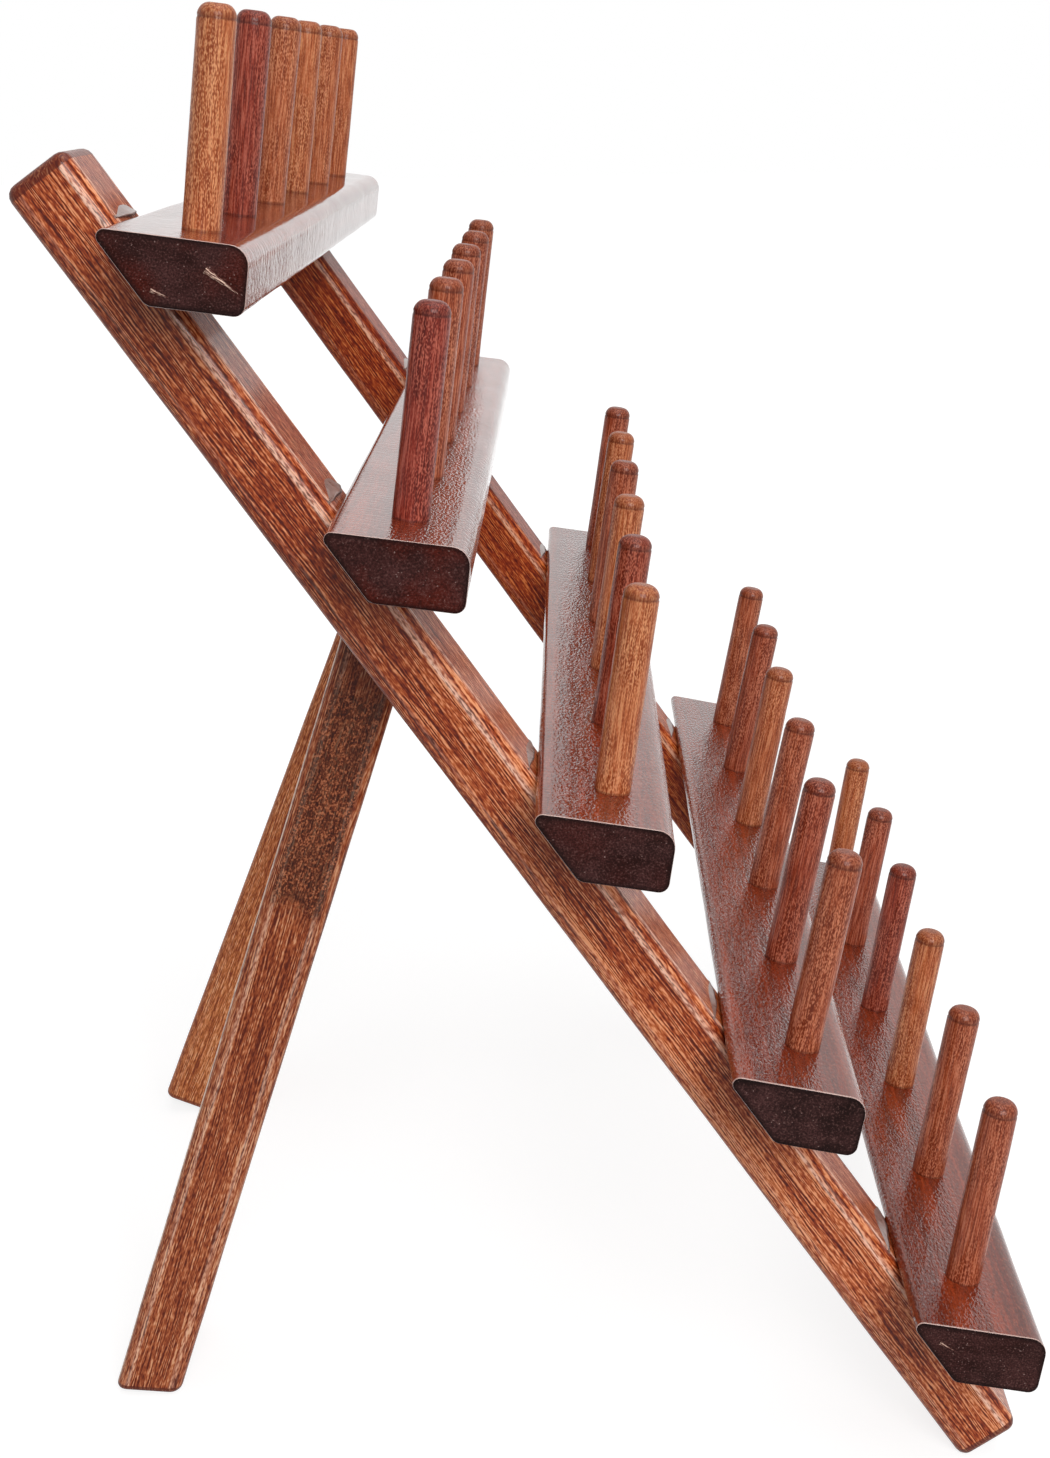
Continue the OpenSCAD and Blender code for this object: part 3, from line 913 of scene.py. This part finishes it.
def make_rails():
    corners = rectangle(rail_high.x - rail_low.x, 0, RAIL_DEPTH)
    outline = rounded(corners, [RAIL_EDGE] * 4, RAIL_WEAR_AND_SHEEN)
    for side in SIDES:
        name = side + "_rail_wood"
        seed = rng.uniform(*SEED_RANGE)
        mesh = stick(name, outline, lambda p: FOOT_LIFT, lambda p: RAIL_LENGTH, RAIL_END, seed)
        place = frame_at(on_rail(rail_middle(side), 0, 0), (1, 0, 0), up_rail)
        materials = [rail_wood[side], stick_end]
        add(name, mesh, place, materials, "frame", seed, [side + "_rail"])


def make_shelves():
    # The end grain takes in the border and half of the rounding
    end_rings = END_STEPS // 2 + 1
    for k in range(1, SHELVES + 1):
        name = f"shelf_{k}_wood"
        forward, up = shelf_axes(k)
        low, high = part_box(f"shelf_{k}")
        length = high.x - low.x
        bevel = Vector((up_rail.dot(forward), up_rail.dot(up)))
        back_bottom = bevel * (-SHELF_THICK / bevel.y)
        corners = [Vector((0, 0)), back_bottom, Vector((SHELF_TOP, -SHELF_THICK)), Vector((SHELF_TOP, 0))]
        outline = rounded(corners, SHELF_RADII)
        seed = rng.uniform(*SEED_RANGE)
        mesh = stick(
            name, outline, lambda p: 0.0, lambda p: length, SHELF_END, seed,
            end_rings=end_rings, border=SHELF_END_BORDER,
        )
        carry_same(mesh, "tone", SHELF_END_TONES[k - 1])
        for key, value in zip(("peel_from", "peel_to", "peel_depth"), PEBBLES[k - 1]):
            carry_same(mesh, key, value)
        place = frame_at(on_rail(high.x, shelf_up(k), 0), forward, (-1, 0, 0))
        add(name, mesh, place, [shelf_finish, shelf_end], "frame", seed, [f"shelf_{k}"])


def peg_rings(radius, wall, blunt):
    """A peg's rings of points from foot to tip: radius, height, and how dark each is."""
    rings = [(radius * share, height, shade) for share, height, shade in PEG_FOOT]
    for step in range(1, PEG_STEPS):
        rings.append((radius, wall * step / PEG_STEPS, 0.0))
    rings.append((radius, wall - PEG_NECK, PEG_NECK_SHADE))
    rings.append((radius - PEG_CREASE, wall, PEG_CREASE_SHADE))
    reach = PEG_TIP * blunt
    for step in range(1, PEG_TIP_STEPS + 1):
        angle = math.pi / 2 * step / PEG_TIP_STEPS
        shade = PEG_SHOULDER_SHADE if step <= PEG_SHOULDER_STEPS else PEG_DOME_SHADE
        rings.append((radius - reach + reach * math.cos(angle), wall + PEG_TIP * math.sin(angle), shade))
    return rings


def make_pegs():
    for k in range(1, SHELVES + 1):
        for i in range(1, PEGS + 1):
            name = f"peg_{k}_{i}_wood"
            mount = mounts[f"spool_peg_{k}_{i}"]
            axis = Vector(mount["axis"]).normalized()
            wall = mount["dims"]["length_mm"] * MM
            radius = mount["dims"]["r_mm"] * MM
            base = Vector(mount["pos_m"]) - axis * wall / 2
            seed = rng.uniform(*SEED_RANGE)
            chance_tone = rng.uniform(*PEG_TONE_RANGE)
            rings = peg_rings(radius, wall, rng.uniform(*PEG_BLUNT_RANGE))
            mesh = lathe(name, [(radius, height) for radius, height, _ in rings])
            shades = []
            for _, _, shade in rings:
                shades += [shade] * ROUND_STEPS
            carry(mesh, "edge", shades + PEG_MIDDLE_SHADES)
            carry_same(mesh, "tone", PEG_TONES.get((k, i), chance_tone))
            unevenness(mesh, PEG_WARP_DEPTH, PEG_WARP_SCALE, seed)
            lean = Matrix.Rotation(rng.uniform(-PEG_LEAN, PEG_LEAN), 4, "X")
            lean = lean @ Matrix.Rotation(rng.uniform(-PEG_LEAN, PEG_LEAN), 4, "Y")
            place = frame_at(base, (1, 0, 0), axis) @ lean
            add(name, mesh, place, [peg_finish], "frame", seed, [f"peg_{k}_{i}"])


def rough_patch(point):
    """How rough the left leg is at a point, 0 to 1: only on its outer face, between the edges."""
    above_bottom = (point.z - PATCH_BOTTOM) / PATCH_FADE
    below_top = max(PATCH_LEAST, (PATCH_TOP - point.z) / PATCH_FADE)
    from_edge = (LEG_DEPTH / 2 - PATCH_EDGE - abs(point.y)) / PATCH_EDGE
    outside = 1.0 if point.x < LEG_EDGE - LEG_WIDTH / 2 else 0.0
    return max(0.0, min(1.0, above_bottom, below_top, from_edge, outside))


def rubbed_and_sheen(point, worn_and_sheen):
    """How pale the left leg's outline is at a point, from scuffing and a painted highlight, if it is so
    pale elsewhere.
    """
    outside = point.x < EDGE_REACH + LEG_EDGE - LEG_WIDTH / 2
    at_back = point.y > LEG_DEPTH / 2 - RIM_REACH
    return RIM_WEAR_AND_SHEEN if outside and at_back else worn_and_sheen


def make_legs():
    half = LEG_DEPTH / 2
    reach = half + FOLD_GAP - STOP_GAP
    points, worn_and_sheen = rounded(rectangle(LEG_WIDTH, -half, half), [LEG_EDGE] * 4, LEG_WEAR_AND_SHEEN)
    # The left leg's outer back edge is paler still: scuffing and a painted highlight
    bare_and_sheen = [rubbed_and_sheen(point, wear_and_sheen) for point, wear_and_sheen in zip(points, worn_and_sheen)]
    outlines = {"left": (points, bare_and_sheen), "right": (points, worn_and_sheen)}
    patches = {"left": rough_patch, "right": None}
    for side in SIDES:
        name = side + "_leg_wood"
        lean = LEG_LEAN[side]
        cut = FOOT_CUT[side]
        mitre = RAIL_ANGLE - lean
        pivot = Vector(joints[side + "_leg_fold"]["pos_m"])
        corner_up = (FOOT_CORNER + (half - FOOT_CORNER) * math.sin(lean) - pivot.z) / math.cos(lean)
        foot = FOOT_CORNER * (1 - math.sin(cut)) / math.cos(cut) - corner_up

        def low(p, foot=foot, cut=cut):
            return FOOT_LIFT - foot - (p.y + half) * math.tan(cut)

        def high(p, mitre=mitre):
            return (reach + p.y * math.sin(mitre)) / math.cos(mitre)

        seed = rng.uniform(*SEED_RANGE)
        mesh = stick(name, outlines[side], low, high, LEG_END, seed, patches[side])
        place = Matrix.Translation(pivot) @ Matrix.Rotation(lean, 4, "X")
        materials = [leg_wood[side], stick_end]
        add(name, mesh, place, materials, side + "_leg", seed, [side + "_leg"])


def make_glue():
    for side in SIDES:
        for k in range(1, SHELVES + 1):
            name = f"shelf_{k}_{side}_glue"
            forward, up = shelf_axes(k)
            sunk = (up_rail + forward).normalized() * -GLUE_SUNK
            seed = rng.uniform(*SEED_RANGE)
            rings = []
            for step in range(GLUE_STEPS + 1):
                share = step / GLUE_STEPS
                lump = noise.noise(Vector((seed, share * GLUE_LUMPS, 0)))
                arch = math.sin(math.pi * share ** GLUE_SKEW)
                rise = (GLUE_UP[side][k - 1] - GLUE_LEAST) * arch * (1 + GLUE_UNEVEN_UP * lump)
                out = GLUE_OUT * (GLUE_THIN + (1 - GLUE_THIN) * arch) * (1 - GLUE_UNEVEN_OUT * lump)
                climb = up_rail * (GLUE_LEAST + rise) - out_rail * GLUE_SKIN
                spread = forward * out - up * GLUE_SKIN
                hollow = (climb + spread) * GLUE_HOLLOW
                along = Vector((GLUE_WIDE * (share - 0.5), 0, 0))
                ring = [along + sunk]
                for curve in range(CORNER_STEPS + 1):
                    t = curve / CORNER_STEPS
                    ring.append(along + climb * (1 - t) ** 2 + hollow * 2 * t * (1 - t) + spread * t ** 2)
                rings.append(ring)
            place = Matrix.Translation(on_rail(rail_middle(side), shelf_up(k), 0))
            add(name, loft(name, rings), place, [glue, glue], "frame", seed)


def make_splinters():
    for number, (k, start, end, width) in enumerate(SPLINTERS, 1):
        name = f"shelf_{k}_splinter_{number}"
        forward, up = shelf_axes(k)
        shelf_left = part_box(f"shelf_{k}")[0].x
        start = forward * start[0] + up * start[1]
        end = forward * end[0] + up * end[1]
        length = (end - start).length
        grain = (end - start).normalized()
        across = Vector((-1, 0, 0)).cross(grain)
        seed = rng.uniform(*SEED_RANGE)
        rings = []
        for step in range(SPLINTER_STEPS + 1):
            share = step / SPLINTER_STEPS
            lump = noise.noise(Vector((seed, share * SPLINTER_LUMPS, 0)))
            half = width / 2 * (1 - SPLINTER_TAPER * share) * (1 + SPLINTER_UNEVEN * lump)
            crest = 2 * half * SPLINTER_RISE
            section = [(-half, -SPLINTER_SUNK), (half, -SPLINTER_SUNK)]
            section += [(half * wide, crest * tall) for wide, tall in SPLINTER_CREST]
            rings.append([Vector((x, y, length * share)) for x, y in section])
        place = frame_at(on_rail(shelf_left, shelf_up(k), 0) + start, across, grain)
        add(name, loft(name, rings), place, [splinter, splinter], "frame", seed)


def make_shelf_screws():
    head = slotted_head(
        "head", SHELF_SCREW_HEAD, SHELF_SCREW_RISE,
        SHELF_SCREW_SLOT, SHELF_SCREW_SLOT_DEPTH, SHELF_SCREW_SUNK,
    )
    stem = shank("stem", SHELF_SCREW_SHANK, SHELF_SCREW_LENGTH)
    for side in SIDES:
        name = side + "_shelf_screws"
        copies = []
        for k in range(1, SHELVES + 1):
            _, up = shelf_axes(k)
            height = shelf_up(k) - SHELF_THICK / up_rail.dot(up) + SHELF_SCREW_UP
            spot = on_rail(rail_middle(side), height, -RAIL_DEPTH)
            turned = Matrix.Rotation(rng.uniform(0, math.pi), 4, "Z")
            place = frame_at(spot, (1, 0, 0), -out_rail) @ turned
            copies += [(head, place), (stem, place)]
        mesh = gather(name, copies)
        add(name + "_steel", mesh, Matrix(), [screw_steel], "frame", SCREW_SEED, [name])


def make_pivots():
    for side, sign in SIDES.items():
        name = side + "_pivot_screw"
        low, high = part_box(name)
        centre = (low + high) / 2
        radius = (high.z - low.z) / 2
        washers = side + "_pivot_washers"
        washer_low, washer_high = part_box(washers)
        inner_face = min(abs(washer_low.x), abs(washer_high.x))
        outer_face = max(abs(washer_low.x), abs(washer_high.x))
        head = slotted_head("head", radius, PIVOT_RISE, PIVOT_SLOT, PIVOT_SLOT_DEPTH, PIVOT_SUNK)
        stem = shank("stem", PIVOT_SHANK, max(abs(low.x), abs(high.x)) - inner_face)
        place = frame_at((sign * inner_face, centre.y, centre.z), (0, 1, 0), (-sign, 0, 0))
        mesh = gather(name, [(head, Matrix()), (stem, Matrix())])
        add(name + "_steel", mesh, place, [screw_steel], "frame", PIVOT_SEED, [name])
        disc = washer("disc", PIVOT_SHANK + WASHER_PLAY, (washer_high.z - washer_low.z) / 2)
        depths = (-WASHER_THICK, inner_face - outer_face)
        mesh = gather(washers, [(disc, Matrix.Translation((0, 0, depth))) for depth in depths])
        materials = [washer_steel]
        add(washers + "_steel", mesh, place, materials, "frame", WASHER_SEED, [washers])


def make_floor():
    """Paper that is white where it is seen, apart from the rack's shadow, and pale where it lights."""
    square = [
        (FLOOR_NEAR, -FLOOR_HALF, 0),
        (FLOOR_HALF, -FLOOR_HALF, 0),
        (FLOOR_HALF, FLOOR_HALF, 0),
        (FLOOR_NEAR, FLOOR_HALF, 0),
    ]
    mesh = bpy.data.meshes.new("floor")
    mesh.from_pydata(square, [], [(0, 1, 2, 3)])
    floor = bpy.data.objects.new("floor", mesh)
    bpy.context.scene.collection.objects.link(floor)
    paper = Finish("floor paper")
    plain = paper.node("ShaderNodeBsdfDiffuse", {"Color": rgb(205, 205, 205)}).outputs["BSDF"]
    half_lit = paper.node("ShaderNodeBsdfDiffuse", {"Color": rgb(150, 150, 150)}).outputs["BSDF"]
    away = paper.node("ShaderNodeVectorMath", {0: paper.place()}, operation="LENGTH").outputs["Value"]
    lifted = paper.remap(away, FLOOR_SHADED, FLOOR_WHITE, *FLOOR_LIFT)
    lift = paper.node("ShaderNodeEmission", {"Color": WHITE, "Strength": lifted}).outputs["Emission"]
    white = paper.node("ShaderNodeAddShader", {0: half_lit, 1: lift}).outputs["Shader"]
    surface = paper.node("ShaderNodeMixShader", {0: paper.seen(), 1: plain, 2: white}).outputs["Shader"]
    paper.set(paper.tree.nodes["Material Output"].inputs["Surface"], surface)
    mesh.materials.append(paper.material)


def make_world():
    """White where it is seen; its light comes from the far side of the rack."""
    world = bpy.data.worlds.new("studio")
    bpy.context.scene.world = world
    world.use_nodes = True
    sky = Nodes(world.node_tree)
    direction = sky.split(sky.place("Generated"))
    level = sky.remap(direction["X"], *WORLD_TURN, WORLD_NEAR, WORLD_FAR)
    ceiling = sky.remap(direction["Z"], *CEILING_TURN, 1.0, WORLD_CEILING)
    strength = sky.math("MAXIMUM", sky.math("MULTIPLY", level, ceiling), sky.seen())
    background = sky.tree.nodes["Background"]
    sky.set(background.inputs["Color"], WHITE)
    sky.set(background.inputs["Strength"], strength)


def make_lamps():
    for name, place, target, size, power in LAMPS:
        light = bpy.data.lights.new(name, "AREA")
        light.shape = "SQUARE"
        light.size = size
        light.energy = power
        lamp = bpy.data.objects.new(name, light)
        bpy.context.scene.collection.objects.link(lamp)
        lamp.location = place
        lamp.rotation_euler = (Vector(target) - Vector(place)).to_track_quat("-Z", "Y").to_euler()


def make_camera():
    lens = bpy.data.cameras.new("camera")
    lens.sensor_fit = "VERTICAL"
    lens.sensor_height = SENSOR
    lens.lens = FOCAL_PIXELS / IMAGE_HEIGHT * SENSOR
    camera = bpy.data.objects.new("camera", lens)
    bpy.context.scene.collection.objects.link(camera)
    camera.matrix_world = frame_at(CAMERA_PLACE, CAMERA_LOOK.cross(CAMERA_UP), -CAMERA_LOOK)
    bpy.context.scene.camera = camera


make_rails()
make_shelves()
make_pegs()
make_legs()
make_glue()
make_splinters()
make_shelf_screws()
make_pivots()
make_floor()
make_world()
make_lamps()
make_camera()
bpy.context.scene.view_settings.view_transform = "Standard"

bpy.context.view_layer.update()
